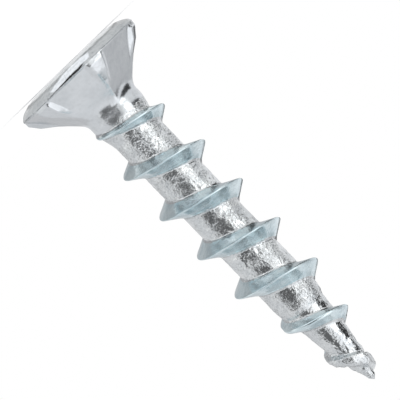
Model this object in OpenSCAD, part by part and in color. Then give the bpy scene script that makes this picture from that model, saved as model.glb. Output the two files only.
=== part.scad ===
// Furniture screw that stands on the face of its head, with the point up the Z axis.

/* [Screw] */
// Length from the face of the head to the point
length = 20; // [15:0.1:36]
// Outer diameter of the thread
thread_d = 4; // [3.4:0.05:4.6]
// Diameter of the core between the turns of thread
core_d = 2.36; // [2:0.02:2.8]
// Diameter of the plain neck under the head
neck_d = 2.84; // [2.4:0.02:3.2]

/* [Thread] */
// Rise of the thread in one turn
pitch = 2.46; // [1.9:0.02:3.2]
// Way that the thread winds
hand = "left"; // [left, right]
// Angle between the flank on the point side and a plane square to the axis of the screw
flank_angle = 30; // [25:1:36]
// The same angle for the flank on the head side, which is steeper
back_angle = 22; // [18:1:36]
// Width of the flat on the crest
crest_w = 0.1; // [0.06:0.01:0.25]
// Length over which the thread rises out of the neck to its full height
run_in = 4.5; // [2.5:0.1:5.5]
// Length of the taper from the neck to the core
neck_taper = 1.3; // [1:0.05:3]
// Length of the tapering point
point_len = 5.2; // [3.5:0.1:7]

/* [Head] */
// Diameter of the head
head_d = 6.8; // [6.2:0.1:8.4]
// Diameter of the flat middle of the face
face_d = 3.4; // [3:0.1:5]
// Height over which the face rounds away to the edge of the head
crown_h = 0.57; // [0.1:0.01:0.7]
// Height of the straight edge at the ribs
edge_h = 0.24; // [0.1:0.01:0.4]
// Included angle of the countersunk underside
sink_angle = 93; // [80:1:100]
// Radial width of the raised band at the outer end of each rib
band_w = 0.36; // [0.2:0.01:0.5]
// Included angle of the raised band, steeper than the countersink
band_angle = 77; // [70:1:78]
// Radial width of the chamfer from the band down to the rib
step_w = 0.6; // [0.2:0.05:0.8]
// Radius of the fillet where the pockets run into the neck
root_r = 1.2; // [0.6:0.05:1.4]

/* [Pockets] */
// Number of pockets pressed into the underside, with a rib between each two
pocket_count = 6; // [5:1:8]
// Height of the rim from the face to the ledge where the pockets start
rim_h = 0.6; // [0.58:0.01:0.7]
// Depth of a pocket at the middle of that ledge, from the edge of the head
pocket_depth = 0.25; // [0.15:0.01:0.4]
// Included angle between opposite floors
pocket_angle = 85; // [78:1:90]
// Width of a rib at the edge of the head
rib_w = 0.86; // [0.3:0.02:1.2]
// Width of a rib at its inner end
rib_end_w = 0.1; // [0.06:0.02:0.2]
// Diameter of the circle on which the ribs end
rib_end_d = 4.4; // [3.8:0.1:5]
// Angle of the first rib round the head, from the X axis
rib_turn = -106; // [-180:0.5:180]

/* [Drive recess] */
// Width across the wings at the face of the head
recess_w = 3.8; // [3:0.1:4.6]
// Depth of the recess
recess_depth = 2.2; // [1.2:0.1:2.5]
// Thickness of a wing
wing_t = 0.96; // [0.6:0.02:1.3]
// Slope of the wing's outer edge from the axis
wing_slope = 26; // [15:1:28]
// Diameter of the round middle at the face
middle_d = 2.2; // [1.4:0.1:2.6]
// Diameter of the round middle at the bottom
middle_end_d = 1.5; // [0.8:0.1:1.7]
// Height of the drill cone at the bottom
middle_tip_h = 0.3; // [0.1:0.05:0.5]

/* [Hidden] */

head_r = head_d / 2;
neck_r = neck_d / 2;
core_r = core_d / 2;
thread_h = (thread_d - core_d) / 2;

// Lines of the underside: the countersink starts at the top of the straight edge
sink_half = sink_angle / 2;
edge_top = crown_h + edge_h;
band_end_r = head_r - band_w;
band_end_z = edge_top + band_w / tan(band_angle / 2);
function sink_z(r) = edge_top + (head_r - r) / tan(sink_half);
sink_end = sink_z(neck_r);

// Radius of a pocket's floor at the ledge, and the height at which it meets the neck
floor_half = pocket_angle / 2;
floor_r = head_r - pocket_depth;
floor_end = rim_h + (floor_r - neck_r) / tan(floor_half);

// The fillet touches the floor and the neck, and bites a little into both to cross them cleanly
root_bite = 0.06;
root_steps = 6;
root_z = floor_end + root_r * tan(floor_half / 2);

// The crest line starts inside the head, at the seam on the -X side
seam_angle = 180;
seam_depth = 0.82;
seam_z = sink_end - seam_depth;
columns = 48;
turns = ceil((length - seam_z) / pitch);

// The core keeps the neck's radius for a short way and then tapers
neck_len = 0.45;
neck_end = sink_end + neck_len;
point_z = length - point_len;
// Share of the point's length, and share of the core's radius there
point_shape = [
    [0, 1], [0.08, 0.95], [0.135, 0.85], [0.28, 0.77], [0.49, 0.655], [0.73, 0.48], [0.89, 0.24], [0.965, 0.14], [1, 0]
];

// Share of the run-in, which starts inside the head, and share of the full thread height there
run_in_depth = 0.3;
run_in_z = sink_end - run_in_depth;
run_in_shape = [[0, 0], [0.15, 0.1], [0.43, 0.76], [0.71, 0.88], [1, 1]];
// The thread fades from a little before the point: share of the way, and share of the full height
run_out_lead = 1.2;
run_out_len = point_len + run_out_lead;
run_out_z = length - run_out_len;
run_out_shape = [[0, 1], [0.085, 0.92], [0.275, 0.58], [0.48, 0.73], [0.68, 0.42], [0.86, 0.34], [0.94, 0.26], [1, 0]];
// Both ends of the helix stray from its even pitch: share of the way, and shift to the point
start_lean = [[0, 0.3], [0.15, 0.27], [0.43, 0]];
point_lean = [[0, 0], [0.275, 0.2], [0.48, 0.08], [0.66, 0.22], [0.86, 0.3], [1, 0.1]];
// The crest spreads where the point was pinched: share of the way, and added width
point_spread = [[0, 0], [0.275, 0.15], [0.48, 0], [0.66, 0.37], [0.86, 0.56], [1, 0.4]];

// Section of the thread along the axis, one row of points for each line:
// share of half the crest, of the flank, of the pitch, and of the thread's height.
// The flank is hollow at its foot, and the last row is the middle of the root.
section = [
    [-1, -1.2, 0, 0],
    [-1, -0.82, 0, 0.2],
    [-1, 0, 0, 0.96],
    [0, 0, 0, 1],
    [1, 0, 0, 0.96],
    [1, 0.82, 0, 0.2],
    [1, 1.2, 0, 0],
    [0, 0, 0.5, 0]
];
rows_a_turn = len(section);
rows = turns * rows_a_turn;
// Width of a flank where the thread has no height
flat_flank = 0.1;

// Near the point the rows are squeezed together, so that none passes it
squeeze_len = 0.8;
squeeze_z = length - squeeze_len;
squeeze_room = 0.65;

function smooth(t) = let (u = max(0, min(1, t))) u * u * (3 - 2 * u);
function body_r(z) = neck_r + (core_r - neck_r) * smooth((z - neck_end) / neck_taper);
function shank_r(z) = body_r(z) * lookup((z - point_z) / point_len, point_shape);
function run_in_share(z) = (z - run_in_z) / run_in;
function run_out_share(z) = (z - run_out_z) / run_out_len;
function thread_height(z) = thread_h * lookup(run_in_share(z), run_in_shape)
    * lookup(run_out_share(z), run_out_shape);
function squeezed(z) = z < squeeze_z ? z
    : squeeze_z + squeeze_room * (1 - exp((squeeze_z - z) / squeeze_room));
function turned(r, column, z) = let (a = seam_angle + 360 * column / columns) [r * cos(a), r * sin(a), z];

// One point of the threaded surface
function thread_point(column, row) = let (
        turn = floor(row / rows_a_turn),
        s = section[row % rows_a_turn],
        even_z = seam_z + pitch * (turn + column / columns),
        crest_z = even_z + lookup(run_in_share(even_z), start_lean) + lookup(run_out_share(even_z), point_lean),
        half_crest = (crest_w + lookup(run_out_share(even_z), point_spread)) / 2,
        h = thread_height(even_z),
        flank_w = max(h * tan(s[1] < 0 ? back_angle : flank_angle), flat_flank),
        z = squeezed(crest_z + s[0] * half_crest + s[1] * flank_w + s[2] * pitch)
    ) turned(shank_r(z) + s[3] * h, column, z);

module by_hand() {
    if (hand == "left")
        mirror([0, 1, 0]) children();
    else
        children();
}

// Core and thread as one surface: the rows follow the helix, and at the seam each row joins the
// row one turn further on. The first turn is closed by a flat ring inside the head.
module threaded_shank() {
    last = columns - 1;
    start_z = seam_z - crest_w / 2 - 1.2 * flat_flank;
    ring = columns * rows;
    apex = ring + columns;
    function at(column, row) = column * rows + row;
    sheet = [for (c = [0:last], r = [0:rows - 1]) thread_point(c, r)];
    start_ring = [for (c = [0:last]) turned(shank_r(start_z), c, start_z)];
    sheet_faces = [
        for (c = [0:last - 1], r = [0:rows - 2])
            each [[at(c, r), at(c, r + 1), at(c + 1, r + 1)], [at(c, r), at(c + 1, r + 1), at(c + 1, r)]]
    ];
    seam_faces = [
        for (r = [0:rows - rows_a_turn - 2])
            let (s = r + rows_a_turn)
                each [[at(last, r), at(last, r + 1), at(0, s + 1)], [at(last, r), at(0, s + 1), at(0, s)]]
    ];
    start_faces = [
        for (c = [0:last - 1])
            each [[ring + c, at(c, 0), at(c + 1, 0)], [ring + c, at(c + 1, 0), ring + c + 1]]
    ];
    start_fan = concat(
        [[ring + last, at(last, 0), at(0, rows_a_turn)], [ring + last, at(0, 0), ring]],
        [for (r = [0:rows_a_turn - 1]) [ring + last, at(0, r + 1), at(0, r)]]
    );
    point_faces = [for (c = [0:last - 1]) [at(c, rows - 1), apex, at(c + 1, rows - 1)]];
    point_fan = concat(
        [[at(0, rows - 1), at(last, rows - 1), apex]],
        [for (r = [rows - 1 - rows_a_turn:rows - 2]) [at(0, rows - 1), at(last, r), at(last, r + 1)]]
    );
    by_hand()
        polyhedron(
            points = concat(sheet, start_ring, [[0, 0, length]]),
            faces = concat(
                sheet_faces, seam_faces, start_faces, start_fan, point_faces, point_fan,
                [[for (c = [0:last]) ring + c]]
            )
        );
}

// A flat face that rounds away in a quarter of an ellipse, a straight edge, and the ribs' outline
module countersunk_blank() {
    overlap = 0.15;
    inner_r = neck_r - overlap;
    flat_r = face_d / 2;
    rotate_extrude($fn = 96)
        polygon(concat(
            [[0, 0]],
            [for (a = [-90:9:0]) [flat_r + (head_r - flat_r) * cos(a), crown_h + crown_h * sin(a)]],
            [
                [head_r, edge_top],
                [band_end_r, band_end_z],
                [band_end_r - step_w, sink_z(band_end_r - step_w)],
                [inner_r, sink_z(inner_r)],
                [0, sink_z(inner_r)]
            ]
        ));
}

// A flat floor between two ribs, which starts at the ledge and leans in to the neck
module pocket() {
    half = 180 / pocket_count;
    reach = 2 * head_d;
    // Point on the side of a rib that has the width w at the radius r
    function beside(r, w, side) =
        [r * cos(half) + w / 2 * sin(half), side * (r * sin(half) - w / 2 * cos(half))];
    end_r = rib_end_d / 2;
    far_r = head_r + (head_r - end_r);
    far_w = rib_w + (rib_w - rib_end_w);
    intersection() {
        translate([0, 0, rim_h])
            linear_extrude(height = head_d)
                polygon([
                    [rib_end_w / 2 / sin(half), 0],
                    beside(end_r, rib_end_w, -1),
                    beside(far_r, far_w, -1),
                    beside(far_r, far_w, 1),
                    beside(end_r, rib_end_w, 1)
                ]);
        translate([floor_r, 0, rim_h])
            rotate([0, -floor_half, 0])
                translate([0, -reach / 2, -reach / 2])
                    cube([reach, reach, 2 * reach]);
    }
}

module root_fillet() {
    end_z = root_z - root_r * sin(floor_half);
    rotate_extrude($fn = 96)
        polygon(concat(
            [for (n = [0:root_steps])
                let (a = floor_half * n / root_steps)
                    [neck_r - root_bite + root_r * (1 - cos(a)), root_z - root_r * sin(a)]],
            [[0, end_z], [0, root_z]]
        ));
}

module head() {
    spacing = 360 / pocket_count;
    difference() {
        countersunk_blank();
        for (n = [0:pocket_count - 1])
            rotate([0, 0, rib_turn + (n + 0.5) * spacing]) pocket();
    }
    root_fillet();
}

module recess_wing() {
    below = 0.2;
    top = recess_w / 2 + below * tan(wing_slope);
    bottom = recess_w / 2 - recess_depth * tan(wing_slope);
    rotate([90, 0, 0])
        linear_extrude(height = wing_t, center = true)
            polygon([[-top, -below], [top, -below], [bottom, recess_depth], [-bottom, recess_depth]]);
}

// Cross recess: four tapering wings about a round middle with a drilled bottom
module drive_recess() {
    for (a = [0, 90]) rotate([0, 0, a]) recess_wing();
    below = 0.2;
    middle_slope = (middle_d - middle_end_d) / 2 / recess_depth;
    translate([0, 0, -below])
        cylinder(r1 = middle_d / 2 + below * middle_slope, r2 = middle_end_d / 2, h = recess_depth + below, $fn = 64);
    translate([0, 0, recess_depth])
        cylinder(r1 = middle_end_d / 2, r2 = 0, h = middle_tip_h, $fn = 64);
}

module screw() {
    color([0.78, 0.79, 0.80])
        difference() {
            union() {
                head();
                threaded_shank();
            }
            drive_recess();
        }
}

screw();
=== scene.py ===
"""Furniture screw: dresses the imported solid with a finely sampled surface, zinc plating and studio light.

The screw stands on the face of its head, with the point up the Z axis. Its sizes are in millimetres and
become metres where a mesh is made. The columns of its surface run round the axis the way the left-handed
thread climbs.
"""

import math

import bpy
import numpy as np
from mathutils import Matrix, Vector


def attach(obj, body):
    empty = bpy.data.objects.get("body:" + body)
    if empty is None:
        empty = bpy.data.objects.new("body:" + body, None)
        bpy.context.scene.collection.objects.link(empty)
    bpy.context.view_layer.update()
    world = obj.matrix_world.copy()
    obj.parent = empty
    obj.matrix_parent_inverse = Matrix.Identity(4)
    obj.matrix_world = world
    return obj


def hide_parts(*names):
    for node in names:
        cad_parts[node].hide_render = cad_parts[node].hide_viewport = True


MM = 0.001

# Shank and thread, as in the solid
LENGTH = 20.0
CORE_R = 2.36 / 2
NECK_R = 2.84 / 2
THREAD_H = 4.0 / 2 - CORE_R
PITCH = 2.46
CREST_W = 0.1
TIP_FLANK_SLOPE = math.tan(math.radians(30))
HEAD_FLANK_SLOPE = math.tan(math.radians(22))
# Width of a flank where the thread has no height
FLAT_FLANK = 0.1
# Share of a flank's width, and share of the thread's height there: the foot is hollow
FLANK_LINE = [(0, 0.96), (0.82, 0.2), (1.2, 0)]

# Head, as in the solid
HEAD_R = 6.8 / 2
FACE_R = 3.4 / 2
CROWN_H = 0.57
EDGE_TOP = CROWN_H + 0.24
SINK_SLOPE = math.tan(math.radians(93 / 2))
BAND_W = 0.36
BAND_TOP = EDGE_TOP + BAND_W / math.tan(math.radians(77 / 2))
STEP_W = 0.6
STEP_TOP = EDGE_TOP + (BAND_W + STEP_W) / SINK_SLOPE

# Pockets and the ribs between them, as in the solid
POCKETS = 6
HALF_SPACING = math.pi / POCKETS
RIM_H = 0.6
LEDGE_R = HEAD_R - 0.25
FLOOR_SLOPE = math.tan(math.radians(85 / 2))
RIB_HALF_W = 0.86 / 2
RIB_END_HALF_W = 0.1 / 2
RIB_END_R = 4.4 / 2
RIB_WIDENING = (RIB_HALF_W - RIB_END_HALF_W) / (HEAD_R - RIB_END_R)
FIRST_RIB = math.radians(-106)

# Drive recess, as in the solid
RECESS_R = 3.8 / 2
RECESS_DEPTH = 2.2
WING_HALF_T = 0.96 / 2
WING_SLOPE = math.tan(math.radians(26))
MIDDLE_R = 2.2 / 2
MIDDLE_END_R = 1.5 / 2
MIDDLE_TIP_H = 0.3
# Angles from a wing's middle at which columns carry its outer and its inner corners
CORNER_TURN = 0.30
INNER_TURN = 0.60

# Heights along the screw, and how the thread comes and goes: share of the way, and share or shift there
SINK_END = EDGE_TOP + (HEAD_R - NECK_R) / SINK_SLOPE
NECK_END = SINK_END + 0.45
NECK_TAPER = 1.3
SEAM_Z = 1.869
POINT_LEN = 5.2
POINT_SHAPE = [
    (0, 1), (0.08, 0.95), (0.135, 0.85), (0.28, 0.77), (0.49, 0.655), (0.73, 0.48), (0.89, 0.24),
    (0.965, 0.14), (1, 0)
]
RUN_IN = 4.5
RUN_IN_Z = SINK_END - 0.3
RUN_IN_SHAPE = [(0, 0), (0.15, 0.1), (0.43, 0.76), (0.71, 0.88), (1, 1)]
RUN_OUT = POINT_LEN + 1.2
RUN_OUT_Z = LENGTH - RUN_OUT
RUN_OUT_SHAPE = [
    (0, 1), (0.085, 0.92), (0.275, 0.58), (0.48, 0.73), (0.68, 0.42), (0.86, 0.34), (0.94, 0.26), (1, 0)
]
START_LEAN = [(0, 0.3), (0.15, 0.27), (0.43, 0)]
POINT_LEAN = [(0, 0), (0.275, 0.2), (0.48, 0.08), (0.66, 0.22), (0.86, 0.3), (1, 0.1)]
POINT_SPREAD = [(0, 0), (0.275, 0.15), (0.48, 0), (0.66, 0.37), (0.86, 0.56), (1, 0.4)]
SQUEEZE_Z = LENGTH - 0.8
SQUEEZE_ROOM = 0.65

# Softened edges: only these differ from the solid, by a few hundredths of a millimetre
ROOT_BLEND = 0.32
CORNER_BLEND = 0.03
RIB_EDGE_ROUND = 0.03
RIB_TOP_SHARE = 0.6
LEAST_RIB_ANGLE = 0.012
WALL_RUN = 0.20
WALL_SHARES = (0.12, 0.8)
CREASE_HALF_W = 0.014
RECESS_BEVEL = 0.03
FOOT_EASE = 0.08
CREST_DROP = 0.04
MOST_CREST_DROP = 0.16
# Height from the rim's upper edge, and share of the pockets' depth there: the ledge and its rounded edge
LEDGE_LINE = [(-0.06, 0.0), (-0.035, 0.03), (-0.012, 0.1), (0.001, 0.24), (0.002, 0.9), (0.012, 1.0)]

# Sampling of the surface
COLUMNS = 192
SECTOR = COLUMNS // POCKETS
RIB_COLUMNS = 5
FLOOR_COLUMNS = SECTOR // 2 + 1 - RIB_COLUMNS - len(WALL_SHARES)
CREST_ROWS = 2
FLANK_ROWS = 12
ROOT_ROWS = 26
ROWS_A_TURN = 1 + 2 * (CREST_ROWS + FLANK_ROWS) + ROOT_ROWS
RECESS_RINGS = 14
FLAT_FACE_RINGS = 9
CROWN_RINGS = 20
RIB_RINGS = 30
NECK_RINGS = 12
# The rings of the face are round from this radius outwards
ROUND_FACE_R = 2.1
# The ribs' rings start and end here, and keep this far from the creases
RIB_RINGS_START = RIM_H + 0.05
RIB_RINGS_END = 1.95
CREASE_GAP = 0.02
# Columns that change their angles have done so this far before the last ring
SETTLE = 0.1
# The threaded rows start and end here, and keep this far from the rings there
START_RING_Z = 2.6
END_RING_Z = 19.81
ROW_GAP = 0.012
TIP_RING_STEPS = (0.0, 0.06, 0.11, 0.15)


# Small tools for curves
def lookup(x, pairs):
    """Value at x of the line through the given points."""
    xs, ys = zip(*pairs)
    return np.interp(x, xs, ys)


def smooth(t):
    """Soft step from 0 to 1, while t goes from 0 to 1."""
    u = np.clip(t, 0.0, 1.0)
    return u * u * (3.0 - 2.0 * u)


def rise(value, start, width):
    """Soft step from 0 to 1 that begins at start."""
    return smooth((value - start) / width)


def fall(value, end, width):
    """Soft step from 1 to 0 that is over at end."""
    return smooth((end - value) / width)


def smooth_max(a, b, width):
    """The larger of two values, blended where they are closer than the width."""
    h = np.maximum(width - np.abs(a - b), 0.0) / width
    return np.maximum(a, b) + h * h * width / 4


def smooth_min(a, b, width):
    """The smaller of two values, blended where they are closer than the width."""
    return -smooth_max(-a, -b, width)


def polar(radius, angle, z):
    """Points at the given radii and angles."""
    return np.stack([radius * np.cos(angle), radius * np.sin(angle), np.broadcast_to(z, radius.shape)], -1)


def column_angle(column):
    """The columns start at the seam on the -X side and run the way the left-handed thread climbs."""
    return -(math.pi + 2 * math.pi * column / COLUMNS)


EVEN = column_angle(np.arange(COLUMNS))


# Outline of the screw
def shank_radius(z):
    """Radius of the neck, the core and the point, without the thread."""
    body = NECK_R + (CORE_R - NECK_R) * rise(z, NECK_END, NECK_TAPER)
    return body * lookup((z - LENGTH + POINT_LEN) / POINT_LEN, POINT_SHAPE)


def rib_outline(z):
    """Radius of the ribs, which is the outline that the head shows from the side."""
    band_r = HEAD_R - BAND_W
    step_r = band_r - STEP_W
    end_z = STEP_TOP + step_r / SINK_SLOPE
    return np.interp(z, [CROWN_H, EDGE_TOP, BAND_TOP, STEP_TOP, end_z], [HEAD_R, HEAD_R, band_r, step_r, 0])


def floor_distance(z):
    """Distance from the axis to the flat floor of a pocket."""
    return LEDGE_R - (z - RIM_H) * FLOOR_SLOPE


def head_radius(angle, z):
    """Radius of the underside near the neck, where the ribs have run out into the corners of the floors."""
    off = (angle - FIRST_RIB) % (2 * HALF_SPACING) - HALF_SPACING
    return smooth_min(rib_outline(z), np.maximum(floor_distance(z), 0.0) / np.cos(off), CORNER_BLEND)


def body_radius(angle, z):
    """Head and shank together, with the fillet where the pockets run into the neck."""
    return smooth_max(head_radius(angle, z), shank_radius(z), ROOT_BLEND)


def face_height(radius):
    """Height of the face, which rounds away from its flat middle to the edge of the head."""
    t = np.clip((radius - FACE_R) / (HEAD_R - FACE_R), 0.0, 1.0)
    return CROWN_H * (1.0 - np.sqrt(1.0 - t * t))


# Thread
def flank_profile():
    """Places across a flank and the shares of the height there, with the corner at the foot eased."""
    places = np.linspace(0.0, FLANK_LINE[-1][0], FLANK_ROWS)
    levels = np.mean([lookup(places + shift, FLANK_LINE) for shift in (-FOOT_EASE, 0.0, FOOT_EASE)], axis=0)
    levels[0], levels[-1] = FLANK_LINE[0][1], 0.0
    return places, levels / levels[0]


FLANK_PLACES, FLANK_LEVELS = flank_profile()


def crest(column, turn):
    """Height of the middle of the crest, half its width, and how far it stands over the core."""
    even_z = SEAM_Z + PITCH * (turn + column / COLUMNS)
    run_in = (even_z - RUN_IN_Z) / RUN_IN
    run_out = (even_z - RUN_OUT_Z) / RUN_OUT
    crest_z = even_z + lookup(run_in, START_LEAN) + lookup(run_out, POINT_LEAN)
    half = (CREST_W + lookup(run_out, POINT_SPREAD)) / 2
    return crest_z, half, THREAD_H * lookup(run_in, RUN_IN_SHAPE) * lookup(run_out, RUN_OUT_SHAPE)


def crest_round(share, half, height):
    """Height at a share of half the crest's width: a wide crest is rounded towards its edges."""
    by_width = CREST_DROP + half / 2
    by_height = (CREST_DROP + half / max(height, 0.01)) / 2
    return height * (1.0 - min(by_width, by_height, MOST_CREST_DROP) * share * share)


def half_thread(top, step, side, slope):
    """One point of a crest or its flank: steps count from the middle, and side is 1 towards the point."""
    crest_z, half, height = top
    if step <= CREST_ROWS:
        share = step / (CREST_ROWS + 1)
        return crest_z + side * half * share, crest_round(share, half, height)
    row = step - CREST_ROWS - 1
    out = half + FLANK_PLACES[row] * max(height * slope, FLAT_FLANK)
    return crest_z + side * out, FLANK_LEVELS[row] * crest_round(1.0, half, height)


def helix_row(column, row):
    """Height along the axis and height over the core of one point. A turn's rows start at its crest."""
    turn, step = divmod(row, ROWS_A_TURN)
    foot = CREST_ROWS + FLANK_ROWS
    if step <= foot:
        return half_thread(crest(column, turn), step, 1, TIP_FLANK_SLOPE)
    if ROWS_A_TURN - step <= foot:
        return half_thread(crest(column, turn + 1), ROWS_A_TURN - step, -1, HEAD_FLANK_SLOPE)
    low = half_thread(crest(column, turn), foot, 1, TIP_FLANK_SLOPE)[0]
    high = half_thread(crest(column, turn + 1), foot, -1, HEAD_FLANK_SLOPE)[0]
    return low + (high - low) * (step - foot) / (ROOT_ROWS + 1), 0.0


def squeezed(z):
    """Rows near the point draw together, so that none passes it."""
    if z < SQUEEZE_Z:
        return z
    return SQUEEZE_Z + SQUEEZE_ROOM * (1 - math.exp((SQUEEZE_Z - z) / SQUEEZE_ROOM))


# Rings of the recess and the face
def recess_outline(depth, grow=0.0):
    """Angles and radii of the cross at one depth. Its corners sit on fixed columns."""
    wing = RECESS_R - depth * WING_SLOPE + grow
    half_t = WING_HALF_T + grow
    middle = MIDDLE_R - depth * (MIDDLE_R - MIDDLE_END_R) / RECESS_DEPTH + grow
    corner = math.atan2(half_t, wing)
    inner = math.asin(min(half_t / middle, 0.99))
    eighth = math.pi / 4
    off = (EVEN + eighth) % (2 * eighth) - eighth
    columns = [-eighth, -INNER_TURN, -CORNER_TURN, CORNER_TURN, INNER_TURN, eighth]
    moved = np.interp(off, columns, [-eighth, -inner, -corner, corner, inner, eighth])
    turn = np.abs(moved)
    side = half_t / np.maximum(np.sin(turn), 1e-6)
    radius = np.where(turn <= corner + 1e-9, wing / np.cos(moved), np.where(turn < inner, side, middle))
    return EVEN + moved - off, radius


def recess_rings():
    """From the drilled bottom up the walls of the cross to the edge at the face."""
    cone_ease, floor_ease = 0.98, 0.97
    rings = []
    for share in (0.25, 0.6, 1.0):
        radius = np.full(COLUMNS, MIDDLE_END_R * share * cone_ease)
        rings.append(polar(radius, EVEN, RECESS_DEPTH + MIDDLE_TIP_H * (1 - share)))
    angle, radius = recess_outline(RECESS_DEPTH)
    rings.append(polar(radius * floor_ease, angle, RECESS_DEPTH))
    for depth in np.linspace(RECESS_DEPTH - 0.02, RECESS_BEVEL, RECESS_RINGS):
        angle, radius = recess_outline(depth)
        rings.append(polar(radius, angle, depth))
    angle, radius = recess_outline(0.0, RECESS_BEVEL * 0.6)
    rings.append(polar(radius, angle, face_height(radius) + RECESS_BEVEL / 4))
    return rings


def face_rings():
    """From the edge of the recess over the rounded face to the widest line."""
    cross_angle, cross_radius = recess_outline(0.0, RECESS_BEVEL)
    rings = []
    for share in np.linspace(0, 1, FLAT_FACE_RINGS):
        radius = cross_radius + (ROUND_FACE_R - cross_radius) * share
        rings.append(polar(radius, cross_angle + (EVEN - cross_angle) * share, face_height(radius)))
    rim_angle = head_ring(RIM_H)[0]
    crown_w = HEAD_R - FACE_R
    for a in np.linspace(math.asin((ROUND_FACE_R - FACE_R) / crown_w), math.pi / 2, CROWN_RINGS)[1:]:
        radius = FACE_R + crown_w * math.sin(a)
        share = rise(radius, ROUND_FACE_R, HEAD_R - SETTLE - ROUND_FACE_R)
        angle = EVEN + (rim_angle - EVEN) * share
        rings.append(polar(np.full(COLUMNS, radius), angle, CROWN_H * (1 - math.cos(a))))
    return rings


# Rings of the underside, whose columns follow the ribs
def rib_half_width(x):
    """Half the width of a rib at a distance along it."""
    return RIB_END_HALF_W + max(x - RIB_END_R, 0.0) * RIB_WIDENING


def rib_edge(outline):
    """Where the side of a rib meets its outline, in a frame whose X runs along the rib."""
    foot = RIB_END_HALF_W - RIB_END_R * RIB_WIDENING
    spread = 1 + RIB_WIDENING ** 2
    x = (math.sqrt(outline ** 2 * spread - foot ** 2) - foot * RIB_WIDENING) / spread
    if x < RIB_END_R:
        x = math.sqrt(outline ** 2 - RIB_END_HALF_W ** 2)
    return np.array([x, rib_half_width(x)])


def rib_corner(floor):
    """Where the side of a rib meets the floor of the pocket beside it, in the same frame."""
    foot = RIB_END_HALF_W - RIB_END_R * RIB_WIDENING
    cos_half, sin_half = math.cos(HALF_SPACING), math.sin(HALF_SPACING)
    x = (floor - foot * sin_half) / (cos_half + RIB_WIDENING * sin_half)
    if x < RIB_END_R:
        x = (floor - RIB_END_HALF_W * sin_half) / cos_half
    return np.array([x, rib_half_width(x)])


def rib_side(outline, floor):
    """Upper and lower end of a rib's side. They are one point where the floor lies outside the outline."""
    corner = rib_corner(floor)
    if np.hypot(*corner) < outline:
        return rib_edge(outline), corner
    meet = max(HALF_SPACING - math.acos(min(floor / outline, 1.0)), LEAST_RIB_ANGLE)
    shared = outline * np.array([math.cos(meet), math.sin(meet)])
    return shared, shared


def half_sector(z):
    """Angles from the rib and radii, for the columns from the middle of a rib to the middle of a pocket."""
    outline, floor = float(rib_outline(z)), floor_distance(z)
    edge, corner = rib_side(outline, floor)
    edge_angle = math.atan2(edge[1], edge[0])
    top_end = max(edge_angle - RIB_EDGE_ROUND / outline, RIB_TOP_SHARE * edge_angle)
    top = [(angle, outline) for angle in np.linspace(0.0, top_end, RIB_COLUMNS)]
    floor_end = floor * np.array([math.cos(HALF_SPACING), math.sin(HALF_SPACING)])
    start = corner + (floor_end - corner) / np.hypot(*(floor_end - corner)) * WALL_RUN
    low = [edge + (start - edge) * share for share in WALL_SHARES]
    low += [start + (floor_end - start) * share for share in np.linspace(0.0, 1.0, FLOOR_COLUMNS)]
    return np.array(top + [(math.atan2(y, x), math.hypot(x, y)) for x, y in low]).T


def head_ring(z, cut=1.0):
    """Angles and radii of all columns at one height; cut is the share of the pockets' depth."""
    step = 2 * math.pi / COLUMNS
    rib_column = round(-(FIRST_RIB + math.pi) / step)
    column = np.arange(COLUMNS)
    place = (column - rib_column + SECTOR // 2 - 1) % SECTOR - (SECTOR // 2 - 1)
    rib = (column - rib_column - place) // SECTOR
    off, radius = half_sector(z)
    angle = FIRST_RIB - rib * SECTOR * step - np.sign(place) * off[np.abs(place)]
    outline = float(rib_outline(z))
    return angle, outline + (radius[np.abs(place)] - outline) * cut


def underside_heights():
    """Heights of the rings on the ribs: evenly spaced, with a pair close to each crease of the outline."""
    creases = [z + off for z in (EDGE_TOP, BAND_TOP, STEP_TOP) for off in (-CREASE_HALF_W, CREASE_HALF_W)]
    even = np.linspace(RIB_RINGS_START, RIB_RINGS_END, RIB_RINGS)
    return sorted([z for z in even if min(abs(z - crease) for crease in creases) > CREASE_GAP] + creases)


def underside_rings():
    """From the widest line over the ledge and down the pockets and ribs to the neck."""
    ledge = [(RIM_H + up, cut) for up, cut in LEDGE_LINE]
    rings = []
    for z, cut in ledge + [(z, 1.0) for z in underside_heights()]:
        angle, radius = head_ring(z, cut)
        rings.append(polar(smooth_max(radius, shank_radius(z), ROOT_BLEND), angle, z))
    last_angle = head_ring(RIB_RINGS_END)[0]
    for z in np.linspace(RIB_RINGS_END, START_RING_Z, NECK_RINGS)[1:]:
        share = rise(z, RIB_RINGS_END, START_RING_Z - SETTLE - RIB_RINGS_END)
        angle = last_angle + (EVEN - last_angle) * share
        rings.append(polar(body_radius(angle, z), angle, z))
    return rings


# The whole surface
class Sheet:
    """Points and faces of a mesh that is still growing."""

    def __init__(self):
        self.points = []
        self.faces = []
        self.count = 0

    def add(self, points):
        """Keeps the points and gives back the number of the first one."""
        first = self.count
        self.points.append(points)
        self.count += len(points)
        return first

    def add_rings(self, rings):
        """Rings of points with faces between neighbours. Gives back the first point of the ends."""
        starts = [self.add(ring) for ring in rings]
        for column in range(COLUMNS):
            after = (column + 1) % COLUMNS
            for low, high in zip(starts, starts[1:]):
                self.faces.append((low + column, high + column, high + after, low + after))
        return starts[0], starts[-1]

    def add_cap(self, z, ring, closes_above):
        """A point on the axis with a fan of faces to a ring."""
        apex = self.add(np.array([[0.0, 0.0, z]]))
        for column in range(COLUMNS):
            here, after = ring + column, ring + (column + 1) % COLUMNS
            self.faces.append((here, apex, after) if closes_above else (apex, here, after))


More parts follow.
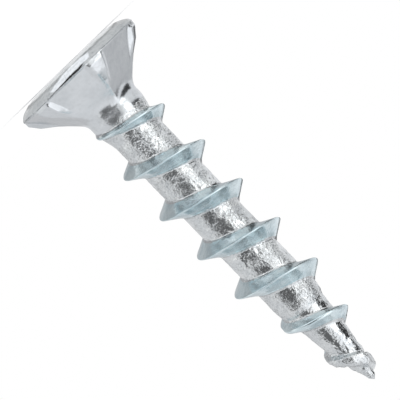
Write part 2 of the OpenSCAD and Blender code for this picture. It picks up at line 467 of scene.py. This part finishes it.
def add_thread_points(sheet):
    """Points of the threaded part. For each column it gives back the point's number of every row kept."""
    last_row = int((LENGTH - SEAM_Z) / PITCH + 3) * ROWS_A_TURN
    columns = []
    for column in range(COLUMNS):
        rows = {}
        profile = []
        for row in range(-ROWS_A_TURN, last_row):
            z, over = helix_row(column, row)
            z = squeezed(z)
            if START_RING_Z + ROW_GAP < z < END_RING_Z - ROW_GAP:
                rows[row] = sheet.count + len(profile)
                profile.append((z, over))
        z, over = np.array(profile).T
        angle = np.full(len(z), column_angle(column))
        sheet.add(polar(body_radius(angle, z) + over, angle, z))
        columns.append(rows)
    return columns


def close_column(sheet, here, there, low_ends, high_ends):
    """Faces between two neighbouring columns, with fans to the ends of the rings under and over them."""
    first, first_there = min(here), min(there)
    last, last_there = max(here), max(there)
    low, low_there = low_ends
    high, high_there = high_ends
    sheet.faces.append((low, here[first], there[first]))
    for row in range(first_there, first):
        sheet.faces.append((low, there[row + 1], there[row]))
    sheet.faces.append((low, there[first_there], low_there))
    for row in range(first, last_there):
        sheet.faces.append((here[row], here[row + 1], there[row + 1], there[row]))
    sheet.faces.append((high_there, there[last_there], here[last_there]))
    for row in range(last_there, last):
        sheet.faces.append((high_there, here[row], here[row + 1]))
    sheet.faces.append((high_there, here[last], high))


def screw_sheet():
    """Points and faces of the whole screw as one closed surface."""
    sheet = Sheet()
    bottom, neck_ring = sheet.add_rings(recess_rings() + face_rings() + underside_rings())
    sheet.add_cap(RECESS_DEPTH + MIDDLE_TIP_H, bottom, closes_above=False)

    columns = add_thread_points(sheet)
    tip_heights = [END_RING_Z + step for step in TIP_RING_STEPS]
    tip_rings = [polar(np.full(COLUMNS, float(shank_radius(z))), EVEN, z) for z in tip_heights]
    tip_ring, last_ring = sheet.add_rings(tip_rings)
    sheet.add_cap(LENGTH, last_ring, closes_above=True)

    # at the seam, each row meets the row one turn further on
    columns.append({row - ROWS_A_TURN: point for row, point in columns[0].items()})
    for column in range(COLUMNS):
        after = (column + 1) % COLUMNS
        close_column(sheet, columns[column], columns[column + 1],
                     (neck_ring + column, neck_ring + after), (tip_ring + column, tip_ring + after))
    return np.concatenate(sheet.points), sheet.faces


# Fine relief
def corner_value(cell, seed):
    """Random number from -1 to 1 for each corner of the lattice, always the same for the same seed."""
    n = cell[:, 0] * 73856093 ^ cell[:, 1] * 19349663 ^ cell[:, 2] * 83492791 ^ seed * 2654435761
    n = (n ^ (n >> 13)) * 1274126177 & 0x7FFFFFFF
    n = (n ^ (n >> 16)) & 0xFFFF
    return n / 32767.5 - 1.0


def lattice_noise(points, lump, seed):
    """Smooth noise from -1 to 1, one value for each point; lump is the size of its lumps."""
    place = points / lump + 1000.0
    base = np.floor(place).astype(np.int64)
    f = place - base
    f = f * f * (3 - 2 * f)
    total = np.zeros(len(points))
    for corner in np.ndindex(2, 2, 2):
        total += np.prod(np.where(corner, f, 1 - f), axis=1) * corner_value(base + corner, seed)
    return total


# The neck is smooth up to here
NECK_SMOOTH_END = 3.4
# Where a relief starts or ends and over what length, by height and by radius
CORE_GRAIN_Z = (NECK_SMOOTH_END - 0.1, 0.4)
CORE_GRAIN_R = (CORE_R * 1.22, 0.12)
RIM_WEAR_Z = (RIM_H + 0.04, 0.05)
RIM_WEAR_R = (2.3, 0.3)
POINT_PITS_Z = (17.2, 1.2)
POINT_END_Z = (19.0, 0.4)
POINT_END_EASE = 0.75
SMOOTH_FACE_Z = (0.05, 0.05)
SMOOTH_RECESS_R = (FACE_R, 0.1)
SMOOTH_RECESS_Z = (START_RING_Z, 0.1)
APEX_Z = (LENGTH, 0.3)
# Heights of the fine grain, of coarse lumps and of wide dents
WAVES, WAVE_GRAIN = 0.0015, 0.0012
EVEN_GRAIN, PATCH_GRAIN, PATCH_COARSE = 0.004, 0.010, 0.012
RIM_DENTS, RIM_COARSE = 0.010, 0.006
POINT_GRAIN, POINT_COARSE, POINT_DENTS = 0.014, 0.022, 0.02


def relief(points):
    """How far the plated surface stands over or under the smooth form, along its normal."""
    radius = np.hypot(points[:, 0], points[:, 1])
    z = points[:, 2]
    fine = lattice_noise(points, lump=0.11, seed=1) + 0.6 * lattice_noise(points, lump=0.06, seed=2)
    coarse = lattice_noise(points, lump=0.24, seed=3)
    patch = smooth(lattice_noise(points, lump=1.1, seed=4) * 1.4 + 0.1)
    waves = lattice_noise(points, lump=0.3, seed=5)
    point_dents = lattice_noise(points, lump=0.5, seed=6)
    rim_dents = lattice_noise(points, lump=0.4, seed=8)

    on_core = rise(z, *CORE_GRAIN_Z) * fall(radius, *CORE_GRAIN_R)
    on_rim = fall(z, *RIM_WEAR_Z) * rise(radius, *RIM_WEAR_R)
    on_point = rise(z, *POINT_PITS_Z) * (1 - POINT_END_EASE * rise(z, *POINT_END_Z))
    on_face = fall(z, *SMOOTH_FACE_Z) + fall(radius, *SMOOTH_RECESS_R) * fall(z, *SMOOTH_RECESS_Z)

    height = WAVES * waves + WAVE_GRAIN * fine
    height += on_core * (EVEN_GRAIN * fine + patch * (PATCH_GRAIN * fine + PATCH_COARSE * coarse))
    height += on_rim * (RIM_DENTS * rim_dents + RIM_COARSE * coarse)
    height += on_point * (POINT_GRAIN * fine + POINT_COARSE * coarse + POINT_DENTS * point_dents)
    return height * (1 - np.clip(on_face, 0, 1)) * fall(z, *APEX_Z)


def add_screw():
    """The screw's surface, with its relief and its finishes."""
    points, faces = screw_sheet()
    mesh = bpy.data.meshes.new("screw_surface")
    mesh.from_pydata((points * MM).tolist(), [], [tuple(reversed(face)) for face in faces])
    mesh.update()
    normals = np.empty(len(points) * 3)
    mesh.vertex_normals.foreach_get("vector", normals)
    points = points + normals.reshape(-1, 3) * relief(points)[:, None]
    mesh.vertices.foreach_set("co", (points * MM).ravel())
    mesh.update()
    assign_finishes(mesh)
    screw = bpy.data.objects.new("screw_surface", mesh)
    bpy.context.scene.collection.objects.link(screw)
    return screw


# Node helpers
def link(tree, source, socket):
    """Connects an output to an input."""
    tree.links.new(source, socket)


def math_node(tree, operation, first, second):
    """Result of a sum, product or comparison of two sockets."""
    node = tree.nodes.new("ShaderNodeMath")
    node.operation = operation
    link(tree, first, node.inputs[0])
    link(tree, second, node.inputs[1])
    return node.outputs[0]


def ranged(tree, value, low, high, to_low, to_high):
    """A value between two levels, moved to between two others."""
    node = tree.nodes.new("ShaderNodeMapRange")
    for name, number in zip(("From Min", "From Max", "To Min", "To Max"), (low, high, to_low, to_high)):
        node.inputs[name].default_value = number
    link(tree, value, node.inputs["Value"])
    return node.outputs["Result"]


def noise_node(tree, coordinates, lump, detail, seed):
    """Noise fixed to the object, with lumps of a size in millimetres."""
    mapping = tree.nodes.new("ShaderNodeMapping")
    mapping.inputs["Scale"].default_value = [1 / (lump * MM)] * 3
    mapping.inputs["Location"].default_value = (seed, seed * 2.7, seed * 1.3)
    noise = tree.nodes.new("ShaderNodeTexNoise")
    noise.inputs["Scale"].default_value = 1.0
    noise.inputs["Detail"].default_value = detail
    noise.inputs["Roughness"].default_value = 0.6
    link(tree, coordinates, mapping.inputs["Vector"])
    link(tree, mapping.outputs["Vector"], noise.inputs["Vector"])
    return noise.outputs["Fac"]


def any_ray(tree, *kinds):
    """1 for rays of any of these kinds, and 0 for all others."""
    path = tree.nodes.new("ShaderNodeLightPath")
    seen = path.outputs[kinds[0]]
    for kind in kinds[1:]:
        seen = math_node(tree, "MAXIMUM", seen, path.outputs[kind])
    return seen


# Zinc plating: levels of a noise between which blotches, specks and rough patches change
BLOTCH_LEVELS = (0.36, 0.62)
SPECK_LEVELS = (0.30, 0.52)
PATCH_LEVELS = (0.40, 0.60)
# Share of the grain's height that a smooth patch keeps
LEAST_GRAIN = 0.3


def tint(tree, coordinates, pale, dull, blotch, grain, specks, seed):
    """Blotches of two tints with fine dark specks."""
    ramp = tree.nodes.new("ShaderNodeValToRGB")
    for element, position, colour in zip(ramp.color_ramp.elements, BLOTCH_LEVELS, (dull, pale)):
        element.position = position
        element.color = (*colour, 1)
    link(tree, noise_node(tree, coordinates, blotch, 3.0, seed), ramp.inputs["Fac"])
    fine = noise_node(tree, coordinates, grain * 0.8, 2.0, seed + 3)
    scaled = tree.nodes.new("ShaderNodeVectorMath")
    scaled.operation = "SCALE"
    link(tree, ramp.outputs["Color"], scaled.inputs[0])
    link(tree, ranged(tree, fine, *SPECK_LEVELS, 1.0 - specks, 1.0), scaled.inputs["Scale"])
    return scaled.outputs[0]


def zinc(name, pale, dull, rough, grain, grain_height, blotch, specks, seed, film=0.0):
    """Plated steel: two tints, a grain that is stronger in rough patches, and a share of dull film."""
    material = bpy.data.materials.new(name)
    material.use_nodes = True
    tree = material.node_tree
    shader = tree.nodes["Principled BSDF"]
    shader.inputs["Metallic"].default_value = 1.0 - film
    coordinates = tree.nodes.new("ShaderNodeTexCoord").outputs["Object"]
    colour = tint(tree, coordinates, pale, dull, blotch, grain, specks, seed)
    link(tree, colour, shader.inputs["Base Color"])

    patches = noise_node(tree, coordinates, blotch * 1.6, 2.0, seed + 5)
    link(tree, ranged(tree, patches, *PATCH_LEVELS, *rough), shader.inputs["Roughness"])

    lumps = noise_node(tree, coordinates, grain, 2.0, seed + 9)
    bump = tree.nodes.new("ShaderNodeBump")
    bump.inputs["Strength"].default_value = 1.0
    bump.inputs["Distance"].default_value = grain_height * MM
    strength = ranged(tree, patches, *PATCH_LEVELS, LEAST_GRAIN, 1.0)
    link(tree, math_node(tree, "MULTIPLY", lumps, strength), bump.inputs["Height"])
    link(tree, bump.outputs["Normal"], shader.inputs["Normal"])
    return material


def head_zinc():
    """Underside of the head, the neck and the face: nearly smooth."""
    return zinc("zinc_head", pale=(0.715, 0.745, 0.765), dull=(0.64, 0.67, 0.69), rough=(0.16, 0.26),
                grain=0.20, grain_height=0.010, blotch=1.6, specks=0.05, seed=3.1)


def flank_zinc():
    """Flanks and crest of the thread: smooth and bluish, with a thin haze."""
    return zinc("zinc_flank", pale=(0.725, 0.83, 0.86), dull=(0.58, 0.695, 0.74), rough=(0.13, 0.22),
                grain=0.14, grain_height=0.012, blotch=0.9, specks=0.10, seed=7.7, film=0.10)


def core_zinc():
    """Core between the turns, and the point: shiny and grainy."""
    return zinc("zinc_core", pale=(0.76, 0.785, 0.79), dull=(0.65, 0.68, 0.695), rough=(0.10, 0.20),
                grain=0.12, grain_height=0.055, blotch=0.6, specks=0.22, seed=26.6)


def rim_zinc():
    """Face and rim of the head: worn by handling."""
    return zinc("zinc_rim", pale=(0.70, 0.73, 0.75), dull=(0.60, 0.63, 0.65), rough=(0.16, 0.26),
                grain=0.16, grain_height=0.035, blotch=0.8, specks=0.16, seed=5.2)


HEAD, FLANK, CORE, RIM = range(4)
# The thread's finishes start here; its flanks stand this far over the core, and end where the point starts
HEAD_FINISH_END = 2.75
FLANK_FOOT = 0.09
FLANK_FINISH_END = 17.6


def assign_finishes(mesh):
    """Gives every face the finish of its place on the screw."""
    for material in (head_zinc(), flank_zinc(), core_zinc(), rim_zinc()):
        mesh.materials.append(material)
    centres = np.empty(len(mesh.polygons) * 3)
    mesh.polygons.foreach_get("center", centres)
    x, y, z = centres.reshape(-1, 3).T / MM
    on_flank = (np.hypot(x, y) - shank_radius(z) >= FLANK_FOOT) & (z <= FLANK_FINISH_END)
    places = [z < RIM_H, z < HEAD_FINISH_END, on_flank, z > NECK_SMOOTH_END]
    finish = np.select(places, [RIM, HEAD, FLANK, CORE], HEAD)
    mesh.polygons.foreach_set("material_index", finish.astype(np.int32))
    mesh.polygons.foreach_set("use_smooth", [True] * len(mesh.polygons))


# Camera
PHOTO_SIZE = 400
PIXELS_A_MM = 22
SENSOR_WIDTH = 36
CAMERA_DISTANCE = 0.27
CAMERA_ELEVATION = math.radians(-1.5)
# Place on the screw that shows in the middle of the photograph, and its turn to the lower right
CAMERA_TARGET = Vector((0.059, 0.0, 8.607)) * MM
SCREW_TURN = math.radians(45.948)


def add_camera():
    """Looks at the standing screw from the front, rolled so that its point runs to the lower right."""
    data = bpy.data.cameras.new("camera")
    camera = bpy.data.objects.new("camera", data)
    bpy.context.scene.collection.objects.link(camera)
    back = Vector((0, -math.cos(CAMERA_ELEVATION), math.sin(CAMERA_ELEVATION)))
    up = Vector((0, math.sin(CAMERA_ELEVATION), math.cos(CAMERA_ELEVATION)))
    side = up.cross(back)
    along, across = math.cos(SCREW_TURN), math.sin(SCREW_TURN)
    rotation = Matrix((along * up - across * side, -along * side - across * up, back)).transposed()
    camera.matrix_world = Matrix.Translation(CAMERA_TARGET + back * CAMERA_DISTANCE) @ rotation.to_4x4()
    data.sensor_width = SENSOR_WIDTH
    data.lens = SENSOR_WIDTH * CAMERA_DISTANCE / (PHOTO_SIZE / PIXELS_A_MM * MM)
    data.clip_start = 0.01
    data.clip_end = 10
    bpy.context.scene.camera = camera


# Studio: a white room with cards that only the metal sees. Distances are in metres, apart from the tables
OBJECT_CENTRE = Vector((0.0, 0.0, 8.6)) * MM
FLOOR_SIZE = 1.6
WORLD_LIGHT = 1.04
FLOOR_TONE = 0.8
CARD_BLUE = 1.02
# Painted light and shade on the floor, seen only in the metal's reflections: rings round the axis that the
# underside of the head sees, by radius in millimetres, and level
PAINTED_FLOOR_RINGS = [
    (2.62, 1.0), (2.72, 0.5), (2.86, 0.5), (2.98, 0.76), (3.55, 0.74), (4.5, 0.80), (5.4, 1.0)
]
PAINTED_FLOOR_RINGS_END = 6.0
# name, azimuths and elevations in degrees, distance, level; azimuth 0 is behind the camera
SCREENS = [
    ("flag_front", (-13, 55), (-12, 17), 0.46, 0.16),
    ("flag_front_up", (9, 46), (17, 38), 0.46, 0.16),
    ("flag_left", (-116, -62), (8, 31), 0.46, 0.04),
    ("flag_left_up", (-119, -86), (43, 52), 0.46, 0.15),
    ("softbox_top", (-72, 0), (19, 74), 0.47, 1.28),
    ("card_front", (0, 57), (38, 62), 0.48, 0.92),
    ("flag_behind", (-174, -155), (8, 21), 0.46, 0.12),
    ("card_left", (-155, -112), (32, 58), 0.48, 0.62),
    ("card_back", (140, 180), (8, 30), 0.48, 0.62),
    ("card_side_right", (57, 179), (-15, 62), 0.56, 0.78),
    ("card_side_left", (-179, -65), (-15, 62), 0.56, 0.92),
    ("card_top", (-180, 180), (58, 90), 0.55, 0.84),
]
SCREEN_STEPS = 12
# name, centre, width along X and depth along Y in millimetres, level; on the floor, the last one on top
FLOOR_CARDS = [
    ("flag_table", (80, -252), 300, 385, 0.08),
    ("flag_near", (1.65, -5.3), 4.3, 3.4, 0.05),
    ("flag_side", (8.8, 1.2), 8.8, 4.4, 0.35),
    ("flag_middle", (22, -33.2), 52, 52.4, 0.70),
    ("card_table_side", (16, 7.8), 27, 8.4, 0.42),
    ("card_table_back", (0, 136), 300, 248, 0.55),
    ("card_table_left", (-27, 17), 36, 30, 0.08),
    ("card_middle", (4, -12.5), 14, 10, 1.4),
    ("card_rim", (0.35, -3.15), 2.6, 0.62, 1.3),
]
# Height of the first card over the floor, and of each card over the one before, in millimetres
FLOOR_CARD_LIFT = 0.02
FLOOR_CARD_STEP = 0.01


def add_mesh(name, points, faces, material):
    """A piece of the studio, which isn't part of the object."""
    mesh = bpy.data.meshes.new(name)
    mesh.from_pydata([tuple(point) for point in points], [], faces)
    mesh.materials.append(material)
    piece = bpy.data.objects.new(name, mesh)
    bpy.context.scene.collection.objects.link(piece)
    return piece


def add_world():
    """Plain white to the camera, in mirrors and in glass, and the light of the room to all else."""
    world = bpy.data.worlds.new("world")
    bpy.context.scene.world = world
    world.use_nodes = True
    tree = world.node_tree
    background = tree.nodes["Background"]
    background.inputs["Color"].default_value = (1, 1, 1, 1)
    seen = any_ray(tree, "Is Camera Ray", "Is Glossy Ray", "Is Transmission Ray")
    link(tree, ranged(tree, seen, 0.0, 1.0, WORLD_LIGHT, 1.0), background.inputs["Strength"])


def painted_floor_rings(tree):
    """Painted light and shade of the floor, as rings that glow by the distance from the screw's axis."""
    distance = tree.nodes.new("ShaderNodeVectorMath")
    distance.operation = "LENGTH"
    link(tree, tree.nodes.new("ShaderNodeTexCoord").outputs["Object"], distance.inputs[0])
    ramp = tree.nodes.new("ShaderNodeValToRGB")
    ramp.color_ramp.elements.remove(ramp.color_ramp.elements[1])
    ramp.color_ramp.elements[0].color = (PAINTED_FLOOR_RINGS[0][1],) * 3 + (1,)
    for radius, level in PAINTED_FLOOR_RINGS:
        element = ramp.color_ramp.elements.new(radius / PAINTED_FLOOR_RINGS_END)
        element.color = (level, level, level, 1)
    share = ranged(tree, distance.outputs["Value"], 0.0, PAINTED_FLOOR_RINGS_END * MM, 0.0, 1.0)
    link(tree, share, ramp.inputs["Fac"])
    # the rings glow, so the metal reflects painted light and shade under its head
    glow = tree.nodes.new("ShaderNodeEmission")
    link(tree, ramp.outputs["Color"], glow.inputs["Color"])
    return glow.outputs[0]


def floor_material():
    """White with the screw's shadow to the camera, and painted rings of light and shade in mirrors."""
    material = bpy.data.materials.new("pale_floor")
    material.use_nodes = True
    tree = material.node_tree
    shader = tree.nodes["Principled BSDF"]
    shader.inputs["Roughness"].default_value = 0.9
    shader.inputs["Specular IOR Level"].default_value = 0.0
    tone = ranged(tree, any_ray(tree, "Is Camera Ray"), 0.0, 1.0, FLOOR_TONE, 1.0)
    grey = tree.nodes.new("ShaderNodeCombineColor")
    for channel in ("Red", "Green", "Blue"):
        link(tree, tone, grey.inputs[channel])
    link(tree, grey.outputs["Color"], shader.inputs["Base Color"])
    mix = tree.nodes.new("ShaderNodeMixShader")
    # glossy and transmission rays see the painted rings of light and shade in place of the lit floor
    link(tree, any_ray(tree, "Is Glossy Ray", "Is Transmission Ray"), mix.inputs[0])
    link(tree, shader.outputs[0], mix.inputs[1])
    link(tree, painted_floor_rings(tree), mix.inputs[2])
    link(tree, mix.outputs[0], tree.nodes["Material Output"].inputs["Surface"])
    return material


def card_material(name, level):
    """A plain card of one brightness, with a trace of blue."""
    material = bpy.data.materials.new(name)
    material.use_nodes = True
    tree = material.node_tree
    glow = tree.nodes.new("ShaderNodeEmission")
    glow.inputs["Color"].default_value = (level, level, level * CARD_BLUE, 1)
    link(tree, glow.outputs[0], tree.nodes["Material Output"].inputs["Surface"])
    return material


def show_in_mirrors_only(piece):
    """Only the metal's reflections see the piece."""
    piece.visible_camera = False
    piece.visible_diffuse = False
    piece.visible_shadow = False


def add_flat(name, centre, width, depth, z, material):
    """A rectangle that faces up. Its centre, width and depth are in metres."""
    corners = [(centre[0] + a * width / 2, centre[1] + b * depth / 2, z)
               for a, b in ((-1, -1), (1, -1), (1, 1), (-1, 1))]
    return add_mesh(name, corners, [(0, 1, 2, 3)], material)


def around(azimuth, elevation, distance):
    """A place round the screw: azimuth 0 is behind the camera, and 90 is on its right, along +X."""
    a, e = math.radians(azimuth), math.radians(elevation)
    ahead = Vector((math.sin(a) * math.cos(e), -math.cos(a) * math.cos(e), math.sin(e)))
    return OBJECT_CENTRE + ahead * distance


def add_screen(name, azimuths, elevations, distance, level):
    """A curved card between two azimuths and two elevations."""
    row = SCREEN_STEPS + 1
    points = [around(azimuth, elevation, distance)
              for elevation in np.linspace(*elevations, row) for azimuth in np.linspace(*azimuths, row)]
    faces = [(k, k + 1, k + row + 1, k + row)
             for j in range(SCREEN_STEPS) for k in range(j * row, j * row + SCREEN_STEPS)]
    show_in_mirrors_only(add_mesh(name, points, faces, card_material(name, level)))


def add_floor_cards():
    """Flat cards on the floor, each a little over the one before."""
    for number, (name, (x, y), width, depth, level) in enumerate(FLOOR_CARDS):
        z = (FLOOR_CARD_LIFT + FLOOR_CARD_STEP * number) * MM
        card = add_flat(name, (x * MM, y * MM), width * MM, depth * MM, z, card_material(name, level))
        show_in_mirrors_only(card)


def add_lamp(name, azimuth, elevation, distance, width, height, radiance):
    """A soft rectangular lamp that shines at the screw."""
    data = bpy.data.lights.new(name, "AREA")
    data.shape = "RECTANGLE"
    data.size = width
    data.size_y = height
    data.energy = radiance * math.pi * width * height
    lamp = bpy.data.objects.new(name, data)
    bpy.context.scene.collection.objects.link(lamp)
    lamp.location = around(azimuth, elevation, distance)
    lamp.rotation_mode = "QUATERNION"
    lamp.rotation_quaternion = (lamp.location - OBJECT_CENTRE).to_track_quat("Z", "Y")


def add_studio():
    """Room, floor, cards and lamp."""
    add_world()
    add_flat("floor", (0, 0), FLOOR_SIZE, FLOOR_SIZE, 0, floor_material())
    for screen in SCREENS:
        add_screen(*screen)
    add_floor_cards()
    add_lamp("softbox_left", azimuth=-46, elevation=6, distance=0.5, width=0.26, height=0.36, radiance=1.15)


# The scene
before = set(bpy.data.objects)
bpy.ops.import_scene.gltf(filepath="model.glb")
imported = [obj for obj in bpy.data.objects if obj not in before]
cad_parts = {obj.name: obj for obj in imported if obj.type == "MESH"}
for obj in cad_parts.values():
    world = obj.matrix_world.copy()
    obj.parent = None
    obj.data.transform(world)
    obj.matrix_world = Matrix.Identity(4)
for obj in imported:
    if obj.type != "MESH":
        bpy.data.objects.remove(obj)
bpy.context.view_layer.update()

screw = add_screw()
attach(screw, "root")
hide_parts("screw")

add_camera()
add_studio()
bpy.context.scene.view_settings.view_transform = "Standard"
